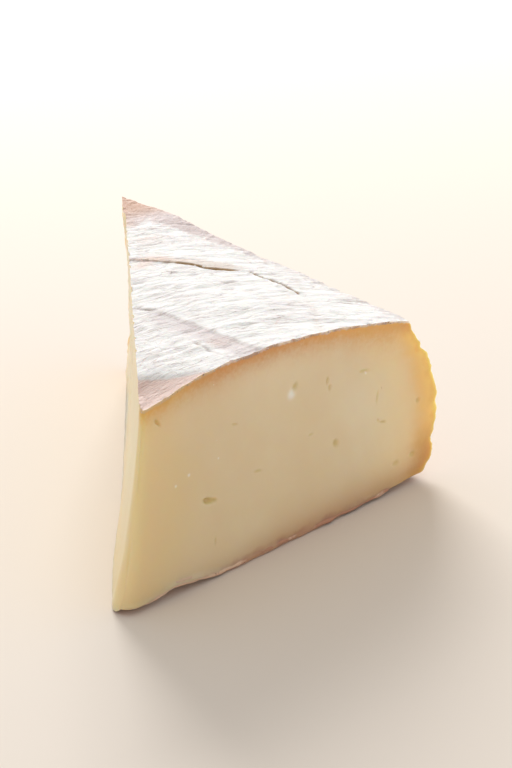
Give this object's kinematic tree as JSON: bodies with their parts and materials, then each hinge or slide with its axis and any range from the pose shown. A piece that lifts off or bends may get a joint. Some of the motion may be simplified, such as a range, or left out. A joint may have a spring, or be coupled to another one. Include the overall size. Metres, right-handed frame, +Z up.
{
  "type": "wedge of taleggio cheese",
  "caption": "Triangular wedge of soft washed-rind cheese: domed creased rind top, smooth cut faces that spread at the tip, and a bulging folded rind side.",
  "frame": {"origin": "middle of the base, at the centre of the wedge's plan bounding box, on the surface that it rests on", "axes": "+Z up; +X from the tip towards the rind side, along the short cut face, which faces -Y; +Y along the rind side towards the block's corner"},
  "size_m": [0.105, 0.1094, 0.0551],
  "materials": {
    "taleggio_paste": "satin, moist soft paste with a dry bloomed rind on the top, the base and the outer side"
  },
  "bodies": {
    "root": {"taleggio_wedge": "taleggio_paste"}
  },
  "joints": []
}
